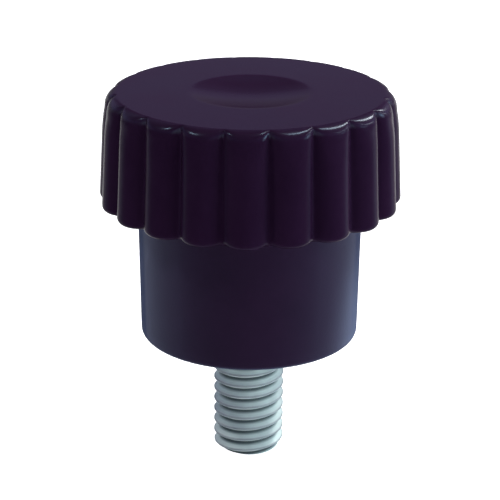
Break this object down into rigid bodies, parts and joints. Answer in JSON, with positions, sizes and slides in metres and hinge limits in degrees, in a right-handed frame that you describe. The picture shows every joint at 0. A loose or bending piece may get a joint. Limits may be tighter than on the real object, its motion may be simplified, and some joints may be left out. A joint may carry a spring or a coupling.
{
  "type": "knurled knob",
  "caption": "Round moulded knob with a lobed, drafted grip, a shallow dish in its top face and a plain hub, on a threaded steel stud.",
  "frame": {"origin": "on the knob's axis at the seat face, where the stud leaves the hub", "axes": "+Z along the axis from the seat face to the top face; the stud points along -Z; a lobe tip faces -Y"},
  "size_m": [0.0252, 0.0252, 0.0319],
  "materials": {
    "body_plastic": "satin moulded surface, near-black with a purple cast",
    "stud_steel": "bright zinc plating over a rolled thread"
  },
  "bodies": {
    "root": {"knob_body": "body_plastic", "threaded_stud": "stud_steel"}
  },
  "joints": []
}
